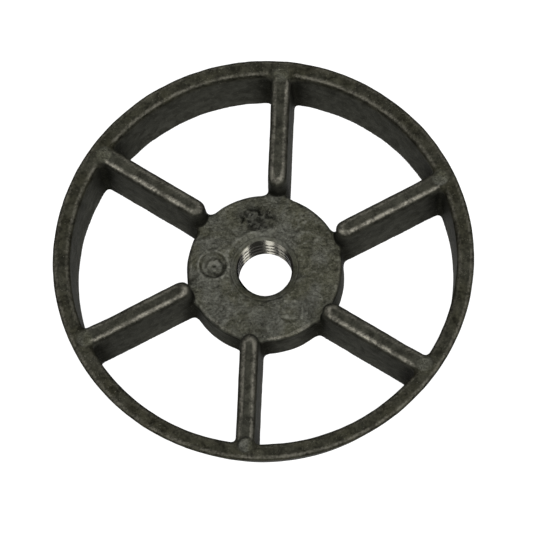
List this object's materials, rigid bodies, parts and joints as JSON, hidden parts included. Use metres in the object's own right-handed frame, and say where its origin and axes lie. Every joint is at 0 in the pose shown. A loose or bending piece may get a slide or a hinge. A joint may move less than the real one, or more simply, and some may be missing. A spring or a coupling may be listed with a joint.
{
  "type": "spoked wheel",
  "caption": "Cast spoked wheel with a recessed hub and a threaded centre hole, for screwing onto the shaft of a pottery wheel or similar hand-driven machine.",
  "frame": {"origin": "on the axis of the threaded hole, in the plane of the underside that the wheel lies on", "axes": "+Z along the axis, from the underside to the side with the recessed hub face and the spoke ridges; +Y along spoke_1, which stands 2.9 mm to the +X side of that axis"},
  "size_m": [0.12, 0.12, 0.0195],
  "materials": {
    "cast_metal": "dark as-cast skin, mottled grey with an olive cast, brown at the rim's edge and worn bright along ridges",
    "machined_thread": "machined metal, oiled and darkened, on the thread and its chamfers"
  },
  "bodies": {
    "root": {"rim": "cast_metal", "hub": "cast_metal", "spoke_1": "cast_metal", "spoke_2": "cast_metal", "spoke_3": "cast_metal", "spoke_4": "cast_metal", "spoke_5": "cast_metal", "spoke_6": "cast_metal"}
  },
  "joints": []
}
